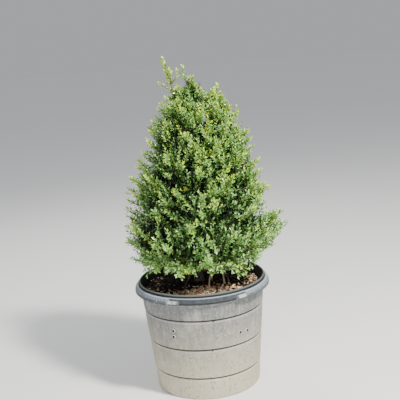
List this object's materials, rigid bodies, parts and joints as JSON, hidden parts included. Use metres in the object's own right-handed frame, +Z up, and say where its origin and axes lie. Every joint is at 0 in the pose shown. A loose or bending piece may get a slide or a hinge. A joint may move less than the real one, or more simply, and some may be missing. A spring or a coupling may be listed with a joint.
{
  "type": "potted japanese holly",
  "caption": "Dense cone-shaped evergreen shrub with small glossy leaves, on thin grey stems in a round weathered grey plastic nursery pot of bark mulch.",
  "frame": {"origin": "centre of the pot's flat underside", "axes": "+Z up the plant, -Y towards the side that the picture shows, +X to the right in the picture"},
  "size_m": [0.677, 0.6027, 1.371],
  "materials": {
    "pot_plastic": "matte",
    "bark_mulch": "matte",
    "bark": "matte",
    "foliage": "satin"
  },
  "bodies": {
    "root": {"pot": "pot_plastic", "soil": "bark_mulch", "trunk": "bark", "stem_low_right": "bark", "stem_low_back_right": "bark", "stem_low_back_left": "bark", "stem_low_left": "bark", "stem_low_front_left": "bark", "stem_low_front_right": "bark", "bough_middle_left": "bark", "stem_middle_front": "bark", "stem_middle_right": "bark", "bough_middle_back_right": "bark", "bough_middle_back_left": "bark", "bough_upper_front_left": "bark", "bough_upper_front_right": "bark", "bough_upper_back_right": "bark", "bough_upper_back_left": "bark", "bough_crest_front_left": "bark", "bough_crest_right": "bark", "bough_crest_back_left": "bark", "bough_leader": "bark", "foliage_low_right": "foliage", "foliage_low_back_right": "foliage", "foliage_low_back_left": "foliage", "foliage_low_left": "foliage", "foliage_low_front_left": "foliage", "foliage_low_front_right": "foliage", "foliage_middle_left": "foliage", "foliage_middle_front": "foliage", "foliage_middle_right": "foliage", "foliage_middle_back_right": "foliage", "foliage_middle_back_left": "foliage", "foliage_upper_front_left": "foliage", "foliage_upper_front_right": "foliage", "foliage_upper_back_right": "foliage", "foliage_upper_back_left": "foliage", "foliage_crest_front_left": "foliage", "foliage_crest_right": "foliage", "foliage_crest_back_left": "foliage", "foliage_top": "foliage", "foliage_leader": "foliage"}
  },
  "joints": []
}
